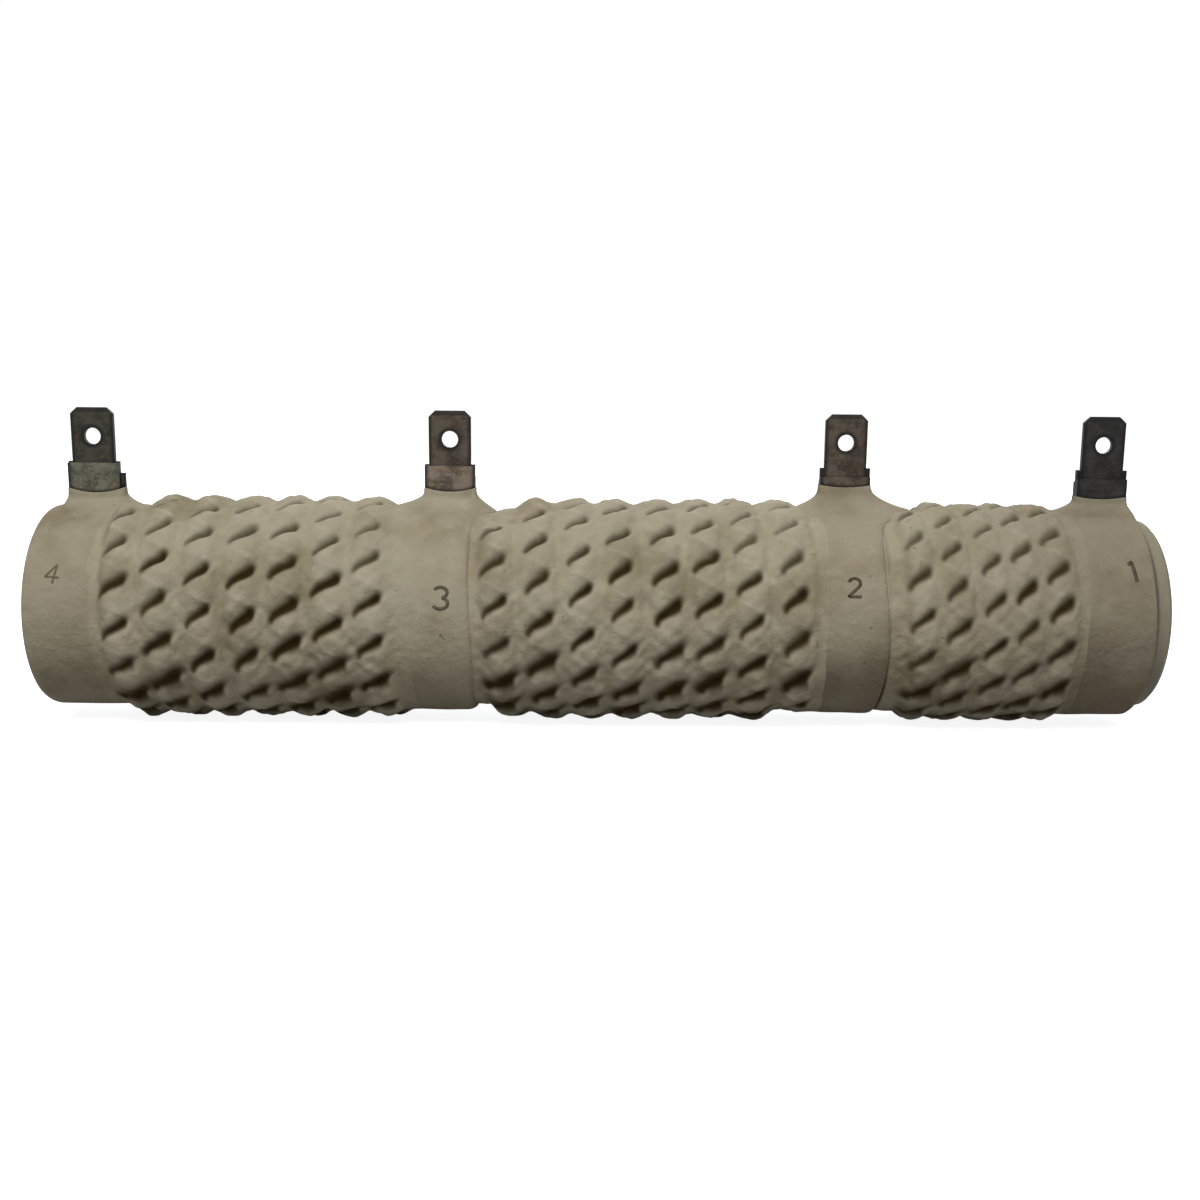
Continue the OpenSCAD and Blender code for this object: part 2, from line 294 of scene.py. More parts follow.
# How far a sleeve goes on under the collars beside it, and the spacing of its points along the tube (mm)
TUCK = 1.7
SLEEVE_STEP = 0.26
# Space for the bond between the coat and the tube (mm)
BOND = 0.02
# The smooth collars: their ends along the tube (mm) and how softly each end falls to the coat beside it
COLLARS = {
    "4": (-COAT_END - 2.2, -72.2, 1.6, 4.0), "3": (-28.4, -18.5, 2.6, 1.7),
    "2": (32.0, 42.0, 2.6, 1.2), "1": (69.6, COAT_END - 0.1, 2.6, 0.6),
}
# How wavy a collar's ends are (mm), and how much softer some of their right ends fall at the top
END_WAVE = 0.16
SOFTER = {"3": 1.5, "1": 1.5}
# How much thinner the coat is over a band, and how far the last collar runs on at the top (mm)
THINNER = {"4": 0.45}
RUN_ON = 1.0
# How much each collar is darkened: in its lower part, by heat stain and painted shade, the angle (degrees up)
# from which, and all over, by heat stain
SCORCH_AND_SHADE = {"4": (0.1, -10.0, 0.14), "3": (0.2, -10.0, 0.05), "2": (0.66, 0.0, 0.15), "1": (0.34, 20.0, 0.4)}
# Foot of each neck to the left and to the right (mm), its height above the collar and the dip of its rim
NECKS = {
    "4": (0.6, 3.2, 2.3, 0.75), "3": (4.6, 2.9, 2.75, 0.6),
    "2": (4.6, 6.5, 3.7, 0.35), "1": (3.4, 1.3, 2.3, 0.4),
}
# Foot of a neck to the front and to the back (mm)
NECK_FOOT = 2.4
# How full the slope of a neck's foot is, and how much more so to the right of some
NECK_FULL = 0.28
FULLER = {"2": 0.14}
# Half the depth of the ears inside a neck, their corners, and the coat beside them at the rim (mm)
NECK_DEEP = 0.92
EAR_CORNER = 0.2
NECK_WALL = 0.15
# The neck's rim: distances outwards from the ears and heights from its top (mm)
RIM_OUT = np.array([-0.35, -0.05, 0.0, 0.05, 0.1, 0.14])
RIM_UP = np.array([-0.6, -0.35, -0.1, -0.02, -0.04, -0.14])


def waves(x, angle, seed, count, longest):
    """Sum of slanted sine waves over the tube, whole numbers of them round it, with a mean square of 1."""
    rng = np.random.default_rng(seed)
    out = np.zeros(np.broadcast(x, angle).shape)
    for _ in range(count):
        length = longest * rng.uniform(0.35, 1.0)
        most = round(TAU * WAVE_R / length)
        around = rng.integers(-most, most + 1)
        slant = rng.uniform(0.3, 1.0)
        shift = rng.uniform(0, TAU)
        out += np.sin(TAU * x / length * slant + np.radians(angle) * around + shift)
    return out / math.sqrt(count / 2.0)


def uneven(coat, x, angle):
    """Height of the coat's slow waves, in millimetres."""
    return 0.8 * coat.unevenness * (0.6 * waves(x, angle, 21, 9, 30.0) + 0.4 * waves(x, angle, 22, 14, 9.0))


def loop_count(winding):
    """Turn numbers of a winding, the running number of its loops at each, and its place along the tube.

    All three go on for some spare turns past both of its ends.
    """
    spare = 2
    per_turn = 360.0 / LOOP_STEP
    counts = [winding["angle"][0] / LOOP_STEP]
    for angle in winding["angle"][1:]:
        share = angle / LOOP_STEP
        counts.append(round(counts[-1] + per_turn - share) + share)
    cross = np.array(winding["cross"])
    lead = np.diff(cross).mean()
    turns = np.array([-spare, *range(len(counts)), len(counts) - 1 + spare], dtype=float)
    running = np.array([counts[0] - spare * per_turn, *counts, counts[-1] + spare * per_turn])
    places = np.array([cross[0] - spare * lead, *cross, cross[-1] + spare * lead])
    return turns, running, places


def to_line(across, along, a, b, reach, climb):
    """Distance of each place from a piece of a loop's sine between two phases, its phase there, and its side.

    Across the turn the sine is the reach times the sine of the phase, and along the turn it climbs with it.
    """
    p = (reach * math.sin(a), climb * a)
    d = (reach * math.sin(b) - p[0], climb * (b - a))
    t = ((across - p[0]) * d[0] + (along - p[1]) * d[1]) / (d[0] ** 2 + d[1] ** 2)
    t = np.clip(t, 0.0, 1.0)
    off = (across - p[0] - t * d[0], along - p[1] - t * d[1])
    return np.hypot(*off), a + t * (b - a), off[1] * d[0] - off[0] * d[1]


def turn_bank(turn, across, first, last):
    """Rounded bank over a turn: the cosine of the distance from its middle, as shares of the pitch.

    It goes from the first turn's beginning to the last one's end. The first turn is narrower on its left.
    """
    wound = smooth((turn - first) / 0.03) * smooth((last - turn) / 0.03)
    lean = across - 0.06
    left = 0.5 + 0.22 * smooth((turn - first - 0.95) / 0.1)
    flank = np.clip(np.where(lean > 0.0, lean / 0.56, -lean / left), 0.0, 1.0)
    return wound * np.cos(0.5 * math.pi * flank)


def loops_relief(x, angle, winding):
    """Share of the crest's height at each place over a flattened coil, depth of its pockets, painted shade
    with some soiling, and ridges.

    Each turn is a rounded bank. Between each two of its loops it has one slanted pocket, whose depth falls
    with the square of the distance from an S-shaped line: slowly above it, under the next loop, more so to
    the right, and fast below it. Painted shade, with some soiling, lies along the same line, more of it under
    the tube. A thin ridge joins each pocket's low end to the high end of the next.
    """
    turns, counts, places = loop_count(winding)
    variants = np.random.default_rng(LOOP_SEED).uniform(-1.0, 1.0, (4, LOOP_VARIANTS))
    first = -winding["start"] / 360.0
    last = len(winding["cross"]) - 1.0 - winding["stop"] / 360.0
    spacing = math.radians(LOOP_STEP) * LOOP_R
    climb = 0.88 * spacing / TAU
    pitch = np.diff(np.array(winding["cross"])).mean()
    bank, pocket, dirt, ridge = (np.zeros(x.shape) for _ in range(4))
    nearest = np.round(np.interp(x, places, turns) + angle / 360.0)
    phases = np.linspace(-LINE_END, LINE_END, LINE_PIECES + 1)
    rise = rise_of(angle)
    # Painted shade: under makes it reach further above each pocket's line under the tube, and dusty makes it
    # fainter on top
    under = 1.0 + smooth((10.0 - rise) / 60.0) - 0.15 * smooth((rise - 15.0) / 35.0)
    dusty = winding["grime_and_shade"] * (1.0 - 0.24 * smooth((rise - 15.0) / 40.0))
    for step in (-1, 0, 1):
        turn = nearest + step - angle / 360.0
        across = x - np.interp(turn, turns, places)
        count = np.interp(turn, turns, counts)
        bank += turn_bank(turn, across / pitch, first, last) ** VALLEY
        for other in (-1, 0, 1):
            number = np.round(count) + other
            longer, deeper, wider, higher = variants[:, number.astype(int) % LOOP_VARIANTS]
            at = np.interp(number, counts, turns)
            shown = ((at > first + 0.02) & (at < last - 0.02)).astype(float)
            along = (number - count) * spacing + 0.34 * higher
            reach = winding["reach"] * (0.98 + 0.14 * longer)
            depth = winding["depth"] * (1.0 + 0.25 * deeper) * shown
            wide = 1.0 + 0.22 * wider
            grime_and_shade = shown * dusty * (1.0 + 0.1 * deeper)
            for a, b in zip(phases[:-1], phases[1:]):
                gap, phase, side = to_line(across, along, a, b, reach, climb)
                right = np.sin(phase)
                above = side > 0.0
                ends = 1.0 - 0.85 * smooth(np.abs(phase) - 0.7)
                weight = depth * (0.82 + 0.22 * right) * ends
                fall = np.where(above, winding["upper"] * (1.0 + 0.45 * right), winding["lower"]) * wide
                pocket = np.maximum(pocket, weight * np.clip(1.0 - gap / fall, 0.0, None) ** 2)
                thick = (0.55 + 0.45 * smooth((phase + 1.6) / 2.4)) * smooth((2.1 - np.abs(phase)) / 0.7)
                # How far the painted shade reaches from the line, further above it
                dark = np.where(above, 1.9 * under * thick, 0.6 * thick) * wide + 0.05
                dirt = np.maximum(dirt, grime_and_shade * np.clip(1.0 - gap / dark, 0.0, None))
            gap, _, _ = to_line(across, along + 0.5 * spacing, -1.2, 1.2, -reach, 0.7 * climb)
            ridge = np.maximum(ridge, shown * bell(gap / 0.3))
    return bank ** (1.0 / VALLEY), pocket, dirt, ridge


def soften(height, passes=2):
    """Height field with its sharp edges filleted by passes of a 1-2-1 blur; the first direction is closed."""
    for _ in range(passes):
        height = 0.25 * (np.roll(height, 1, 0) + np.roll(height, -1, 0)) + 0.5 * height
        height[:, 1:-1] = 0.25 * (height[:, :-2] + height[:, 2:]) + 0.5 * height[:, 1:-1]
    return height


def shell(x, angle, radius, values):
    """Points of a coat with a plain inner wall: rings along the tube by angles round it, closed both ways."""
    rows = len(x)
    wall = np.full((rows, 2), CORE_R + BOND)
    ends = np.stack([x[:, -1], x[:, 0]], 1)
    turn = np.radians(np.concatenate([angle, angle[:, :2]], 1))
    radius = np.concatenate([radius, wall], 1)
    points = np.stack([np.concatenate([x, ends], 1), -radius * np.cos(turn), radius * np.sin(turn)], -1)
    flat = np.zeros((rows, 2))
    return points, {key: np.concatenate([v, flat], 1) for key, v in values.items()}


def sleeve_scorch(x):
    """How much heat has stained the coat over the windings, which grows along the last one."""
    return 0.3 * smooth((x - 44.0) / 24.0)


def sleeve_surface(winding, coat, rows=345):
    """Points and values of the coat over one winding.

    The radius is that of the thin coat on the tube, raised by the banks over the turns, less the pockets
    between the loops, plus thin ridges, slow waves and lumps. Beside a collar the banks fall away: the coat
    comes up flush with the collar on its right and may sink beside that on its left, clear of the wire.
    """
    low, high = winding["ends"]
    places = np.linspace(low - TUCK, high + TUCK, round((high - low + 2.0 * TUCK) / SLEEVE_STEP))
    angle = round_tube(rows, len(places))
    x = np.broadcast_to(places, angle.shape)
    bank, pocket, dirt, ridge = loops_relief(x, angle, winding)
    inside = smooth((x - low - 0.4) / 1.7) * smooth((high - 0.4 - x) / 1.7)
    lumps = 0.07 * waves(x, angle, 31, 20, 5.0) + 0.045 * waves(x, angle, 32, 40, 3.6)
    flush = (coat.collar - 0.03 - coat.floor) * smooth((x - high + 4.0) / 2.0)
    clear = smooth((np.abs(angle - winding["start"]) - 12.0) / 10.0)
    clear = clear * (0.4 + 0.6 * np.sin(np.radians(angle)) ** 2)
    base = coat.floor + flush - winding["sink"] * clear * smooth((low + 5.5 - x) / 2.5)
    lift = bank * (1.0 + winding["fill"] * (1.0 - bank))
    height = base + inside * ((winding["crest"] - base) * lift - pocket + winding["ridge"] * ridge * bank)
    radius = soften(height) + uneven(coat, x, angle) + lumps * inside
    rise = rise_of(angle)
    # Painted shade in the groove beside the left collar, stronger under the tube, with some soiling
    gutter_shade = bell((x - low - 0.75) / 0.38) * np.clip(0.4 + 0.35 * waves(x, angle, 51, 5, 40.0), 0.0, 1.0)
    gutter_shade = gutter_shade * (0.35 + 0.65 * smooth((25.0 - rise) / 40.0))
    # Painted highlight: crests low on the tube are painted pale
    low_crest_highlight = smooth((radius - 16.1) / 0.7) * smooth((-2.0 - rise) / 35.0)
    values = {
        "dirt": np.maximum(soften(dirt * inside), gutter_shade * winding["gutter_shade"]),
        "height": radius,
        "ridge": ridge * inside * winding["ridge"] / RIDGE_FULL + 1.3 * low_crest_highlight,
        "scorch_and_shade": sleeve_scorch(x),
    }
    return shell(x, angle, radius, values)


def rounded_end(radius, edge, share):
    """Radius that falls to that of an edge in a quarter of an ellipse, as the share goes from 1 to 0."""
    return edge + (radius - edge) * np.sqrt(1.0 - (1.0 - np.clip(share, 0.0, 1.0)) ** 2)


def collar_ends(terminal, angle):
    """Where the smooth coat over a band begins and stops, and a bell round the top of the tube.

    Both ends are wavy, apart from that at the tube's left end. At the top they go on to the foot of the
    neck, or run on over the tube's right end.
    """
    low, high = COLLARS[terminal][:2]
    left, right = NECKS[terminal][:2]
    reach = BAND_HALF[terminal] + NECK_WALL + 0.4
    lobe = bell((angle - 90.0) / 17.0)
    begin = np.full(angle.shape, low)
    if terminal != "4":
        begin = begin + END_WAVE * waves(0.0 * angle, angle, 61, 8, 50.0)
        begin = begin + min(BAND_X[terminal] - reach - left - low, 0.0) * lobe
    wavy = 0.5 * END_WAVE if terminal == "1" else END_WAVE
    end = high + wavy * waves(0.0 * angle, angle, 62, 8, 50.0)
    on = RUN_ON if terminal == "1" else max(BAND_X[terminal] + reach + right - high, 0.0)
    return begin, end + on * lobe, lobe


def collar_radius(terminal, coat, x, angle):
    """Radius of the smooth coat over a band, which falls at both ends in a quarter of an ellipse.

    Each end falls to what lies beside it: the bare tube, a sleeve or the thin coat on the tube.
    """
    begin, end, lobe = collar_ends(terminal, angle)
    soft_low, soft_high = COLLARS[terminal][2:]
    full = coat.collar - THINNER.get(terminal, 0.0)
    edge_low = CORE_R + 0.04 if terminal == "4" else full - 0.3
    edge_high = {
        "4": full - 0.14, "3": coat.floor - WINDINGS[1]["sink"] - 0.02,
        "2": coat.floor - 0.02, "1": CORE_R + 0.15,
    }[terminal]
    soft_high = soft_high * (1.0 + SOFTER.get(terminal, 0.0) * lobe)
    radius = rounded_end(full + uneven(coat, x, angle), edge_low, (x - begin) / soft_low)
    return rounded_end(radius, edge_high, (end - x) / soft_high)


def collar_surface(terminal, coat, rows=230, columns=46):
    """Points and values of the smooth coat over one band: rings of that radius, closer at its ends."""
    share = 0.5 - 0.5 * np.cos(math.pi * np.linspace(0.0, 1.0, columns))
    angle = round_tube(rows, columns)
    begin, end, _ = collar_ends(terminal, angle)
    x = begin + (end - begin) * share
    radius = collar_radius(terminal, coat, x, angle)
    # Painted highlight: a pale lip just inside collar 3's right end
    lip = bell((end - x - 0.7) / 0.35) * (terminal == "3")
    amount, below, least = SCORCH_AND_SHADE[terminal]
    patchy = 0.8 + 0.2 * waves(x, angle, 71, 8, 20.0)
    # The lower part is darker: heat stain and painted shade
    scorch_and_shade = np.clip(least + amount * smooth((below - rise_of(angle)) / 30.0) * patchy, 0.0, 1.0)
    beside = sleeve_scorch(begin)
    scorch_and_shade = beside + (scorch_and_shade - beside) * smooth((x - begin + 0.3) / 2.0)
    values = {"dirt": np.zeros(x.shape), "height": radius, "ridge": 0.6 * lip, "scorch_and_shade": scorch_and_shade}
    return shell(x, angle, radius, values)


def rounded_outline(half, corner, sides=(50, 8), turn=9):
    """Points and outward normals of a rectangle with rounded corners: four arcs, a side after each."""
    quarter = np.radians(np.linspace(0.0, 90.0, turn))
    signs = np.array([[1, 1], [-1, 1], [-1, -1], [1, -1]])
    points, normals = [], []
    for k in range(4):
        side = sides[k % 2]
        bend = quarter + 0.5 * math.pi * k
        out = np.stack([np.cos(bend), np.sin(bend)], -1)
        points.append(signs[k] * (half - corner) + corner * out)
        share = (np.arange(side)[:, None] + 1.0) / (side + 1.0)
        ahead = (signs[(k + 1) % 4] - signs[k]) * (half - corner)
        points.append(points[-1][-1] + share * ahead)
        normals += [out, np.repeat(out[-1:], side, 0)]
    return np.concatenate(points), np.concatenate(normals)


def neck_surface(terminal, coat, rows=22):
    """Points and values of the coat that creeps up a terminal: a profile carried round the ears.

    The ears' outline is a rounded rectangle. From the rim beside the metal the profile goes over a small
    lip and down a wall, then along a slope that is half a quarter of an ellipse and half nearly straight
    and ends flush with the collar. It closes inside the metal.
    """
    left, right, tall, dip = NECKS[terminal]
    half = np.array([BAND_HALF[terminal], NECK_DEEP])
    outline, normal = rounded_outline(half, EAR_CORNER)
    around, rim = len(outline), len(RIM_OUT)
    foot = np.where(normal[:, 0] < 0.0, left, right) * normal[:, 0] ** 2 + NECK_FOOT * normal[:, 1] ** 2
    full = NECK_FULL + FULLER.get(terminal, 0.0) * np.clip(normal[:, :1], 0.0, 1.0)
    top = coat.collar + tall - dip * (1.0 - (outline[:, 0] / half[0]) ** 2)
    t = np.linspace(0.0, 1.0, rows)
    fall = 0.5 - 0.5 * np.sqrt(1.0 - (1.0 - t) ** 2) + full * (1.0 - t) ** 1.2
    out = np.concatenate([np.tile(RIM_OUT, (around, 1)), NECK_WALL + foot[:, None] * t], 1)
    x = outline[:, :1] + normal[:, :1] * out + BAND_X[terminal]
    y = outline[:, 1:] + normal[:, 1:] * out
    lean = np.degrees(np.arctan2(np.full(y.shape, coat.collar), -y))
    begin, end, _ = collar_ends(terminal, lean)
    x = np.clip(x, begin + 0.1, end - 0.1)
    ground = np.sqrt(collar_radius(terminal, coat, x, lean) ** 2 - y ** 2) - 0.04
    climb = top[:, None] - 0.2 - ground
    z = np.concatenate([top[:, None] + RIM_UP, ground[:, rim:] + climb[:, rim:] * fall], 1)
    under = np.stack([x[:, -1], outline[:, 0] * 0.8 + BAND_X[terminal]], 1)
    under_y = np.stack([y[:, -1], outline[:, 1] * 0.8], 1)
    under_z = np.stack([z[:, -1] - 0.5, np.full(around, CORE_R + 0.3)], 1)
    points = np.stack([np.concatenate(pair, 1) for pair in ((x, under), (y, under_y), (z, under_z))], -1)
    return points, {"scorch_and_shade": np.full(points.shape[:2], SCORCH_AND_SHADE[terminal][2])}


# Numbers

# Place of each number along the tube (mm), up round it (degrees), height, stroke (mm) and tilt (degrees)
NUMBERS = {
    "4": (-78.68, 26.7, 2.9, 0.32, 0.0), "3": (-22.62, 15.2, 3.3, 0.5, 0.0),
    "2": (36.93, 22.6, 2.85, 0.46, 0.0), "1": (77.56, 32.6, 3.2, 0.56, 8.0),
}
# How far the ink of each number has faded
FADED = {"4": 0.4, "3": 0.22, "2": 0.05, "1": 0.1}
# How high the ink stands on the coat, and how deep its lower side lies in it (mm)
INK_HIGH = 0.02
INK_DEEP = 0.06


def arc(middle, size, start, stop, count=14):
    """Points of an elliptical arc in a number's own square, angles in degrees."""
    t = np.radians(np.linspace(start, stop, count))
    return np.stack([middle[0] + size[0] * np.cos(t), middle[1] + size[1] * np.sin(t)], -1)


def strokes(digit):
    """Strokes of a number one unit high, its middle at the origin."""
    if digit == "4":
        corner = np.array([[0.22, 0.5], [-0.33, -0.14], [0.36, -0.2]])
        return [corner, np.array([[0.22, 0.5], [0.06, -0.5]])]
    if digit == "3":
        upper = arc((-0.02, 0.24), (0.3, 0.24), 150, -80)
        return [np.concatenate([upper, arc((-0.02, -0.23), (0.33, 0.25), 80, -155)])]
    if digit == "2":
        upper = arc((0.0, 0.22), (0.29, 0.26), 165, -40)
        return [np.concatenate([upper, np.array([[-0.32, -0.46], [0.34, -0.46]])])]
    return [np.array([[-0.2, 0.38], [0.0, 0.5], [0.0, -0.5]])]


def number_surface(terminal, path, coat, count=40):
    """Points of one stroke of ink: a thin strip carried along the path on the coat, four to each place."""
    along, up, tall, wide, tilt = NUMBERS[terminal]
    steps = np.concatenate([[0.0], np.cumsum(np.linalg.norm(np.diff(path, axis=0), axis=1))])
    fine = np.linspace(0.0, steps[-1], count)
    path = np.stack([np.interp(fine, steps, path[:, i]) for i in range(2)], -1) * tall
    ahead = np.gradient(path, axis=0)
    ahead /= np.linalg.norm(ahead, axis=1, keepdims=True)
    side = np.stack([-ahead[:, 1], ahead[:, 0]], -1) * 0.5 * wide
    flat = np.stack([path + side, path - side, path - side, path + side], 1)
    t = math.radians(tilt)
    flat = flat @ np.array([[math.cos(t), math.sin(t)], [-math.sin(t), math.cos(t)]])
    x = along + flat[..., 0]
    angle = up + np.degrees(flat[..., 1] / coat.collar)
    section = np.array([INK_HIGH, INK_HIGH, -INK_DEEP, -INK_DEEP])
    radius = collar_radius(terminal, coat, x, angle) + section
    turn = np.radians(angle)
    return np.stack([x, -radius * np.cos(turn), radius * np.sin(turn)], -1)


# Shader expressions


class Value:
    """A number or a colour on its way through a material; Python's operators add Math nodes to it."""

    def __init__(self, shader, socket):
        self.shader = shader
        self.socket = socket

    def maths(self, operation, first, second):
        """Math node of two numbers."""
        return self.shader.node("ShaderNodeMath", {"operation": operation}, {0: first, 1: second})

    def __add__(self, other):
        return self.maths("ADD", self, other)

    def __sub__(self, other):
        return self.maths("SUBTRACT", self, other)

    def __rsub__(self, other):
        return self.maths("SUBTRACT", other, self)

    def __mul__(self, other):
        return self.maths("MULTIPLY", self, other)

    __radd__ = __add__
    __rmul__ = __mul__

    def between(self, low, high):
        """Smooth step from 0 at low to 1 at high."""
        return self.shader.node(
            "ShaderNodeMapRange", {"interpolation_type": "SMOOTHSTEP"}, {0: self, 1: low, 2: high}
        )


class Shader:
    """The nodes of one material or of the world."""

    def __init__(self, owner):
        self.owner = owner
        owner.use_nodes = True
        self.tree = owner.node_tree
        self.tree.nodes.clear()

    def node(self, kind, settings=None, sockets=None, out=0):
        """Adds a node, sets its settings, then gives its sockets values or links, and returns one output."""
        node = self.tree.nodes.new(kind)
        for key, value in (settings or {}).items():
            setattr(node, key, value)
        for key, value in (sockets or {}).items():
            socket = node.inputs[key]
            if isinstance(value, Value):
                self.tree.links.new(value.socket, socket)
            else:
                wide = hasattr(socket.default_value, "__len__") and len(socket.default_value) == 4
                socket.default_value = (*value, 1.0) if wide and len(value) == 3 else value
        return Value(self, node.outputs[out]) if len(node.outputs) else None

    def place(self, scale=(1.0, 1.0, 1.0)):
        """Object coordinates, stretched."""
        where = self.node("ShaderNodeTexCoord", out="Object")
        return self.node("ShaderNodeMapping", {}, {"Vector": where, "Scale": scale})

    def millimetres(self, where, axis):
        """One of the coordinates, in millimetres."""
        return self.node("ShaderNodeSeparateXYZ", {}, {"Vector": where}, out=axis) * (1.0 / MM)

    def noise(self, where, scale, detail=3.0, rough=0.55, twist=0.0):
        """Clouds with a mean of about a half."""
        return self.node(
            "ShaderNodeTexNoise", {},
            {"Vector": where, "Scale": scale, "Detail": detail, "Roughness": rough, "Distortion": twist},
        )

    def attribute(self, name):
        """One of the piece's own values."""
        return self.node("ShaderNodeAttribute", {"attribute_name": name}, out="Fac")

    def mix(self, share, first, second):
        """Blend of two colours."""
        return self.node("ShaderNodeMix", {"data_type": "RGBA"}, {0: share, 6: first, 7: second}, out=2)

    def bump(self, height, distance, strength):
        """Normal of a relief of the given depth in metres."""
        return self.node("ShaderNodeBump", {}, {"Height": height, "Distance": distance, "Strength": strength})

    def seen(self):
        """1 for the rays that show the background: the camera's and those that mirrors and glass send on."""
        rays = ("Is Camera Ray", "Is Glossy Ray", "Is Transmission Ray")
        camera, mirror, glass = (self.node("ShaderNodeLightPath", out=ray) for ray in rays)
        return camera + mirror + glass

    def finish(self, sockets):
        """Principled surface with these sockets."""
        surface = self.node("ShaderNodeBsdfPrincipled", {}, sockets)
        self.node("ShaderNodeOutputMaterial", {}, {"Surface": surface})
        return self.owner


# Materials

# Half the width of a blade, the distance from its tip to its hole, and the radii of the ring of painted shade
# there (mm)
BLADE_HALF = 3.175
HOLE_DOWN = 4.3
HOLE_RING = (1.35, 2.1)
# How much lighter each band's metal is than its blade
BAND_LIGHT = {"4": 2.9, "3": 2.2, "2": 1.1, "1": 1.1}
# What rust does to the red, green and blue of a metal
RUST = (1.5, 0.95, 0.75)


def shade(base, factor):
    """A colour made lighter or darker."""
    return [factor * c for c in base]


def cement_material(name, settings):
    """Rough matt cement: cloudy body, stains, grains, pale rubbed crests with painted highlights, and painted
    shade in the pockets.

    The pieces of the coat share it, so it is made only once.
    """
    if name in bpy.data.materials:
        return bpy.data.materials[name]
    s = Shader(bpy.data.materials.new(name))
    where = s.place()
    clouds = s.noise(where, 90.0, 4.0)
    blotch = s.noise(where, 320.0, 3.0)
    grain = s.noise(where, 2600.0, 2.0, 0.6)
    lumps = s.noise(where, 620.0, 4.0, 0.6)
    pits = s.noise(where, 1100.0, 2.0, 0.5)
    colour = s.mix(clouds.between(0.4, 0.75), settings.body, settings.stain)
    colour = s.mix(blotch.between(0.5, 0.8) * 0.5, colour, settings.pale)
    colour = s.mix(s.noise(where, 170.0, 3.0).between(0.5, 0.75) * 0.55, colour, settings.rosy)
    # Heat stain, with painted shade on the lower part of the collars
    colour = s.mix(s.attribute("scorch_and_shade") * (0.6 + 0.6 * blotch), colour, settings.scorch_and_shade)
    # Pale paint: rubbed wear on the high crests, wear and painted highlight on the thin ridges, painted
    # highlight on the low crests and on collar 3's lip
    rubbed = s.attribute("height").between(16.3, 17.0) * 0.2 + s.attribute("ridge") * 0.4
    colour = s.mix(rubbed * blotch.between(0.25, 0.65), colour, settings.pale)
    # Painted shade, with some soiling, in the pockets and in the groove beside a collar
    colour = s.mix(s.attribute("dirt").between(0.05, 0.8), colour, settings.grime_and_shade)
    colour = s.mix(pits.between(0.7, 0.78) * 0.45, colour, settings.grime_and_shade)
    normal = s.bump(lumps * 0.7 + pits * 0.2 + grain * 0.1, 0.0005, 0.75)
    return s.finish({"Base Color": colour, "Roughness": 0.9, "Specular IOR Level": 0.08, "Normal": normal})


def metal_material(name, base, middle, half, hole=None, rim=None, dip=0.0):
    """Oxidised sheet metal: blotches, rust, rolled streaks and rubbed spots, with painted shade along its
    edges.

    middle and half give the piece's place and half its width along the tube, hole the height of its hole,
    rim and dip the height of the coat in front of it and how far that rises to its sides, in millimetres.
    """
    s = Shader(bpy.data.materials.new(name))
    where = s.place()
    off = s.millimetres(where, "X") - middle
    z = s.millimetres(where, "Z")
    streak = s.noise(s.place((70.0, 70.0, 900.0)), 1.0, 3.0)
    blotch = s.noise(where, 380.0, 4.0, 0.65)
    rust = s.noise(where, 610.0, 3.0, 0.6, 0.6)
    fine = s.noise(where, 2400.0, 2.0, 0.6)
    colour = s.mix(blotch.between(0.4, 0.62) * 0.8, shade(base, 1.4), shade(base, 0.4))
    colour = s.mix(rust.between(0.52, 0.66) * 0.5, colour, [c * t for c, t in zip(base, RUST)])
    rubbed = streak.between(0.5, 0.8) * 0.3 + fine.between(0.54, 0.68) * 0.55
    colour = s.mix(rubbed, colour, shade(base, 2.2))
    # Painted shade along the side edges, round the hole and along the top, and a painted shadow where the
    # coat meets a band
    edge_shade = (off * off).between((half - 0.8) ** 2, (half - 0.1) ** 2)
    if hole:
        up = z - hole
        edge_shade = edge_shade + 1.0 - (off * off + up * up).between(HOLE_RING[0] ** 2, HOLE_RING[1] ** 2)
        edge_shade = edge_shade + up.between(HOLE_DOWN - 0.9, HOLE_DOWN - 0.4)
    if rim:
        up = z - rim - off * off * (dip / half ** 2)
        edge_shade = edge_shade + 1.0 - up.between(0.0, 0.6)
    edge_shade = s.node("ShaderNodeClamp", {}, {"Value": edge_shade * (0.6 + fine * 0.7)})
    colour = s.mix(edge_shade, colour, shade(base, 0.16))
    normal = s.bump(fine * 0.5 + blotch * 0.5, 0.00006, 0.7)
    return s.finish({
        "Base Color": colour, "Roughness": 0.45 + blotch * 0.3, "Metallic": 0.25, "Specular IOR Level": 0.2,
        "Normal": normal,
    })


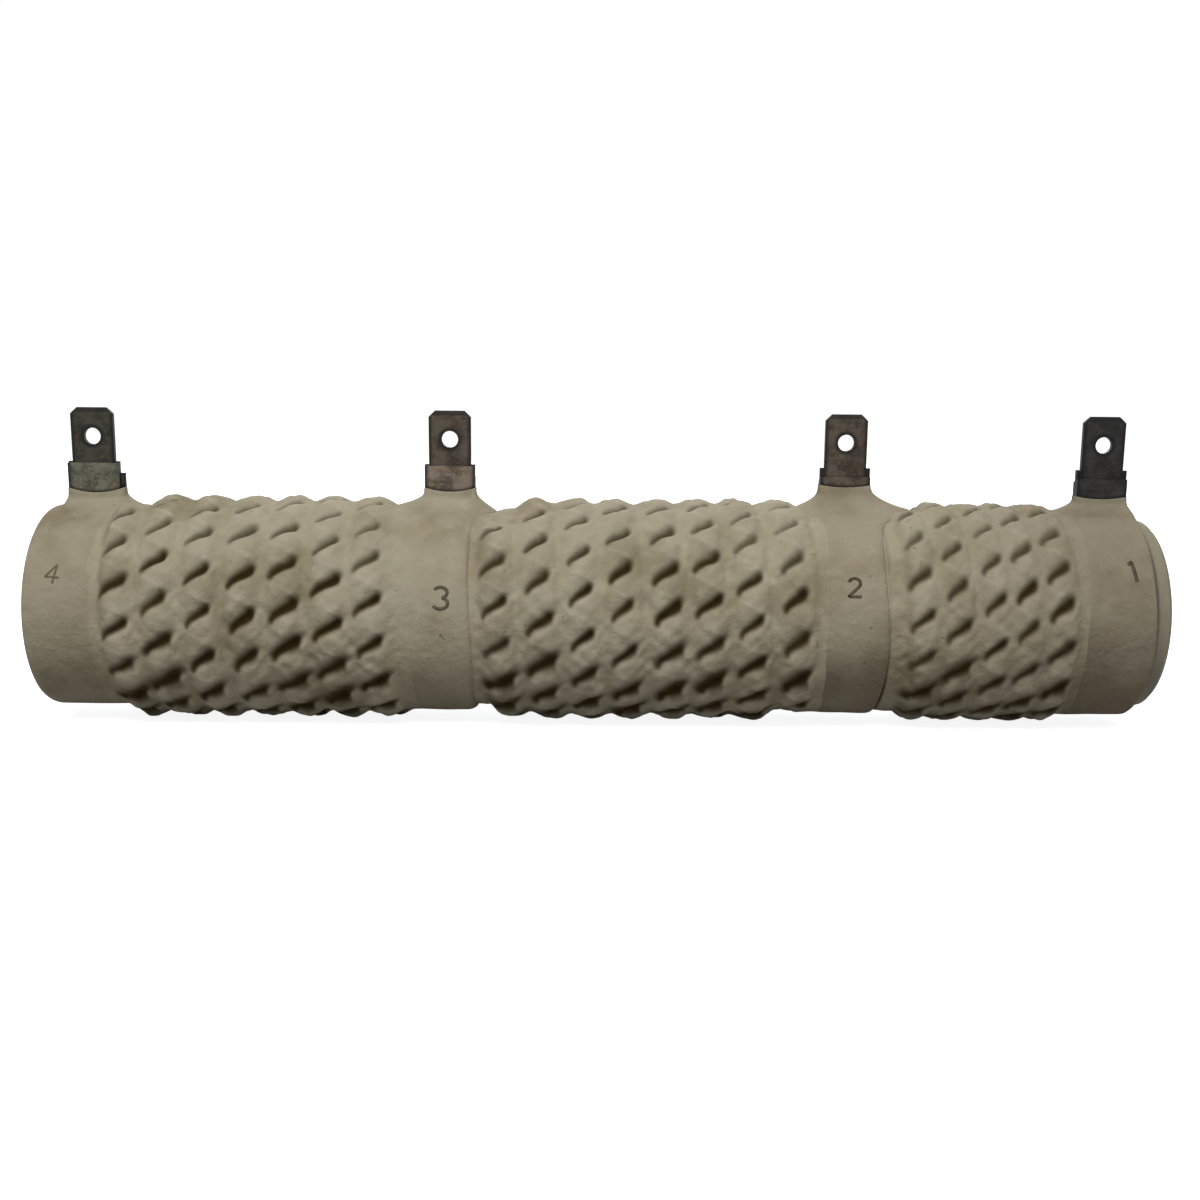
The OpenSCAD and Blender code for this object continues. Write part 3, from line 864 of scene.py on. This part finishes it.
def ceramic_material(name, base):
    """Bare fired ceramic: even body with pores and faint stains, painted shade towards the bottom and a
    painted shadow beside the coat's right end.
    """
    s = Shader(bpy.data.materials.new(name))
    where = s.place()
    clouds = s.noise(where, 110.0, 3.0)
    pores = s.noise(where, 1700.0, 2.0, 0.6)
    colour = s.mix(clouds.between(0.35, 0.75) * 0.6, base, shade(base, 0.72))
    colour = s.mix(pores.between(0.66, 0.76) * 0.4, colour, shade(base, 0.4))
    x = s.millimetres(where, "X")
    # Painted shade: darker towards the bottom
    foot = 1.0 - s.millimetres(where, "Z").between(-13.0, 2.0)
    colour = s.mix(foot * 0.6, colour, shade(base, 0.4))
    # Painted shadow of the coat's step on the bare tube beside its right end, stronger towards the bottom
    step_shadow = (1.0 - x.between(COAT_END + 0.1, COAT_END + 0.7)) * x.between(0.0, 1.0)
    colour = s.mix(step_shadow * (0.2 + clouds + foot * 0.4), colour, shade(base, 0.2))
    normal = s.bump(pores, 0.00005, 0.6)
    return s.finish({"Base Color": colour, "Roughness": 0.75, "Specular IOR Level": 0.3, "Normal": normal})


def ink_material(name, base, worn, faded):
    """Worn printing ink, which lets the cement show where it lies thin."""
    s = Shader(bpy.data.materials.new(name))
    wear = s.noise(s.place(), 900.0, 3.0, 0.6)
    colour = s.mix(faded + wear.between(0.45, 0.75) * 0.4, base, worn)
    return s.finish({"Base Color": colour, "Roughness": 0.7, "Specular IOR Level": 0.3})


def wire_material(name):
    """Drawn resistance wire with a thin oxide."""
    s = Shader(bpy.data.materials.new(name))
    tint = s.noise(s.place(), 500.0, 3.0)
    colour = s.mix(tint.between(0.35, 0.7), srgb(120, 112, 102), srgb(84, 76, 70))
    return s.finish({"Base Color": colour, "Roughness": 0.45, "Metallic": 0.9})


def oxide(metal, terminal):
    """Colour of the oxide on a terminal's metal."""
    return list({"4": metal.olive, "3": metal.brown, "2": metal.brown, "1": metal.black}[terminal])


def paint(node, material):
    """Gives a frame node one material."""
    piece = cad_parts[node]
    piece.data.materials.clear()
    piece.data.materials.append(material)


# Stage

# The floor: half its side (mm), how pale the camera sees it, the grey that lights the object, and full white
FLOOR_HALF = 4000.0
FLOOR_PALE = 0.8
FLOOR_GREY = (0.38, 0.38, 0.38)
FLOOR_WHITE = 1.02
# Tint of the light from all round
WARM = (1.0, 0.92, 0.77)
# Where the lamps stand, and their length and width (m)
KEY_PLACE = (-0.03, -0.29, 0.41)
BACK_PLACE = (0.0, 0.38, 0.2)
LAMP_SIZE = (0.5, 0.3)
# Width of the camera's sensor (mm), and the nearest and farthest that it sees (m)
SENSOR = 36.0
NEAR, FAR = 0.01, 20.0


# Operators


def coat_pieces(surfaces, settings):
    """Makes pieces of the coat, which stand for the frame's plain one."""
    cement = cement_material("cement_coat", settings)
    for name, (points, values) in surfaces.items():
        piece = mesh_piece(name, points.reshape(-1, 3), ring_quads(*points.shape[:2]), values)
        piece.data.materials.append(cement)
        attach(piece, "root")
        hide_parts("coating")


class RESISTOR_OT_sleeves(bpy.types.Operator):
    """Makes the coat over the windings, with its loops and pockets"""

    bl_idname = "resistor.sleeves"
    bl_label = "Sleeves"

    def execute(self, context):
        settings = context.scene.resistor_coat
        coat = coat_sizes(settings)
        coat_pieces({"sleeve_" + w["name"]: sleeve_surface(w, coat) for w in WINDINGS}, settings)
        return {"FINISHED"}


class RESISTOR_OT_collars(bpy.types.Operator):
    """Makes the smooth coat over the bands"""

    bl_idname = "resistor.collars"
    bl_label = "Collars"

    def execute(self, context):
        settings = context.scene.resistor_coat
        coat = coat_sizes(settings)
        coat_pieces({"collar_" + t: collar_surface(t, coat) for t in TERMINALS}, settings)
        return {"FINISHED"}


class RESISTOR_OT_necks(bpy.types.Operator):
    """Makes the coat that creeps up the terminals"""

    bl_idname = "resistor.necks"
    bl_label = "Necks"

    def execute(self, context):
        settings = context.scene.resistor_coat
        coat = coat_sizes(settings)
        coat_pieces({"neck_" + t: neck_surface(t, coat) for t in TERMINALS}, settings)
        return {"FINISHED"}


class RESISTOR_OT_numbers(bpy.types.Operator):
    """Prints the terminals' numbers on the coat"""

    bl_idname = "resistor.numbers"
    bl_label = "Numbers"

    def execute(self, context):
        settings = context.scene.resistor_coat
        metal = context.scene.resistor_metal
        coat = coat_sizes(settings)
        for t in TERMINALS:
            ink = ink_material("ink_" + t, metal.ink, settings.stain, FADED[t])
            parts = [number_surface(t, path, coat) for path in strokes(t)]
            quads = [strip_quads(len(p), 4 * sum(len(q) for q in parts[:i])) for i, p in enumerate(parts)]
            points = np.concatenate([p.reshape(-1, 3) for p in parts])
            piece = mesh_piece("number_" + t, points, np.concatenate(quads))
            piece.data.materials.append(ink)
            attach(piece, "root")
        return {"FINISHED"}


class RESISTOR_OT_blades(bpy.types.Operator):
    """Gives the blades their dark oxide"""

    bl_idname = "resistor.blades"
    bl_label = "Blades"

    def execute(self, context):
        hole = BLADE_TOP - HOLE_DOWN
        for t in TERMINALS:
            base = oxide(context.scene.resistor_metal, t)
            paint("blade_" + t, metal_material("oxide_blade_" + t, base, BLADE_X[t], BLADE_HALF, hole))
        return {"FINISHED"}


class RESISTOR_OT_bands(bpy.types.Operator):
    """Gives the bands a lighter oxide than their blades have"""

    bl_idname = "resistor.bands"
    bl_label = "Bands"

    def execute(self, context):
        coat = coat_sizes(context.scene.resistor_coat)
        for t in TERMINALS:
            base = shade(oxide(context.scene.resistor_metal, t), BAND_LIGHT[t])
            tall, dip = NECKS[t][2:]
            rim = coat.collar + tall - dip
            band = metal_material("oxide_band_" + t, base, BAND_X[t], BAND_HALF[t], rim=rim, dip=dip)
            paint("band_" + t, band)
        return {"FINISHED"}


class RESISTOR_OT_windings(bpy.types.Operator):
    """Gives the windings the finish of their wire"""

    bl_idname = "resistor.windings"
    bl_label = "Windings"

    def execute(self, context):
        wire = wire_material("resistance_wire")
        for winding in WINDINGS:
            paint("winding_" + winding["name"], wire)
        return {"FINISHED"}


class RESISTOR_OT_core(bpy.types.Operator):
    """Gives the tube its bare ceramic"""

    bl_idname = "resistor.core"
    bl_label = "Core"

    def execute(self, context):
        base = list(context.scene.resistor_metal.ceramic)
        paint("core_tube", ceramic_material("bare_ceramic", base))
        return {"FINISHED"}


class RESISTOR_OT_stage(bpy.types.Operator):
    """Makes the floor, the light and the camera"""

    bl_idname = "resistor.stage"
    bl_label = "Stage"

    def execute(self, context):
        scene = context.scene
        stage = scene.resistor_stage
        corners = np.array([[-1, -1, 0], [1, -1, 0], [1, 1, 0], [-1, 1, 0]]) * FLOOR_HALF
        floor = mesh_piece("floor", corners + np.array([0.0, 0.0, FLOOR_Z]), np.array([[0, 1, 2, 3]]))
        floor.data.materials.append(self.paper(stage.fill))
        self.air(scene, stage.fill)
        self.lamp(scene, "key", stage.key, KEY_PLACE)
        self.lamp(scene, "back", stage.back, BACK_PLACE)
        scene.camera = self.camera(scene, stage)
        scene.view_settings.view_transform = "Standard"
        return {"FINISHED"}

    def lamp(self, scene, name, power, place):
        """Soft lamp that points at the middle of the tube."""
        light = bpy.data.lights.new(name, "AREA")
        light.shape = "RECTANGLE"
        light.size, light.size_y = LAMP_SIZE
        light.energy = power
        lamp = bpy.data.objects.new(name, light)
        lamp.location = place
        lamp.rotation_euler = (-Vector(place)).to_track_quat("-Z", "Y").to_euler()
        scene.collection.objects.link(lamp)

    def paper(self, fill):
        """Pale floor, white to the camera where no shadow lies on it: its colour undoes the light's tint."""
        s = Shader(bpy.data.materials.new("paper_floor"))
        lit = s.node("ShaderNodeBsdfDiffuse", {}, {"Color": [FLOOR_PALE / c for c in WARM]})
        dull = s.node("ShaderNodeBsdfDiffuse", {}, {"Color": FLOOR_GREY})
        glow = s.node("ShaderNodeEmission", {}, {"Strength": FLOOR_WHITE - FLOOR_PALE * fill})
        both = s.node("ShaderNodeAddShader", {}, {0: lit, 1: glow})
        surface = s.node("ShaderNodeMixShader", {}, {0: s.seen(), 1: dull, 2: both})
        s.node("ShaderNodeOutputMaterial", {}, {"Surface": surface})
        return s.owner

    def air(self, scene, fill):
        """White surroundings for the camera, mirrors and glass, plain fill light for everything else."""
        scene.world = bpy.data.worlds.new("studio")
        s = Shader(scene.world)
        soft = s.node("ShaderNodeBackground", {}, {"Color": WARM, "Strength": fill})
        white = s.node("ShaderNodeBackground", {}, {"Color": (1.0, 1.0, 1.0)})
        both = s.node("ShaderNodeMixShader", {}, {0: s.seen(), 1: soft, 2: white})
        s.node("ShaderNodeOutputWorld", {}, {"Surface": both})

    def camera(self, scene, stage):
        """Camera that looks along +Y, pitched down, turned and rolled by the stage's tilt."""
        pitch, turn, roll = stage.tilt
        level = math.cos(pitch)
        ahead = Vector((math.sin(turn) * level, math.cos(turn) * level, -math.sin(pitch)))
        side = Vector((math.cos(turn), -math.sin(turn), 0.0))
        up = side.cross(ahead)
        right = math.cos(roll) * side + math.sin(roll) * up
        up = math.cos(roll) * up - math.sin(roll) * side
        data = bpy.data.cameras.new("camera")
        data.sensor_width = SENSOR
        data.lens = stage.lens
        data.clip_start = NEAR
        data.clip_end = FAR
        camera = bpy.data.objects.new("camera", data)
        turned = Matrix((right, up, -ahead)).transposed().to_4x4()
        turned.translation = Vector(stage.eye)
        camera.matrix_world = turned
        scene.collection.objects.link(camera)
        return camera


STEPS = (
    RESISTOR_OT_sleeves, RESISTOR_OT_collars, RESISTOR_OT_necks, RESISTOR_OT_numbers, RESISTOR_OT_blades,
    RESISTOR_OT_bands, RESISTOR_OT_windings, RESISTOR_OT_core, RESISTOR_OT_stage,
)


class RESISTOR_PT_panel(bpy.types.Panel):
    """Lists the steps that dress the resistor"""

    bl_idname = "RESISTOR_PT_panel"
    bl_label = "Blower motor resistor"
    bl_space_type = "VIEW_3D"
    bl_region_type = "UI"
    bl_category = "Resistor"

    def draw(self, context):
        for step in STEPS:
            self.layout.operator(step.bl_idname)


GROUPS = {
    "resistor_coat": ResistorCoatSettings,
    "resistor_metal": ResistorMetalSettings,
    "resistor_stage": ResistorStageSettings,
}
CLASSES = (*GROUPS.values(), *STEPS, RESISTOR_PT_panel)


def register():
    """Registers the classes and gives the scene its settings."""
    for cls in CLASSES:
        bpy.utils.register_class(cls)
    for name, cls in GROUPS.items():
        setattr(bpy.types.Scene, name, bpy.props.PointerProperty(type=cls))


def unregister():
    """Takes the settings and the classes away again."""
    for name in GROUPS:
        delattr(bpy.types.Scene, name)
    for cls in reversed(CLASSES):
        bpy.utils.unregister_class(cls)


def main():
    """Dresses the frame step by step."""
    register()
    bpy.ops.resistor.sleeves()
    bpy.ops.resistor.collars()
    bpy.ops.resistor.necks()
    bpy.ops.resistor.numbers()
    bpy.ops.resistor.blades()
    bpy.ops.resistor.bands()
    bpy.ops.resistor.windings()
    bpy.ops.resistor.core()
    bpy.ops.resistor.stage()


if __name__ == "__main__":
    main()
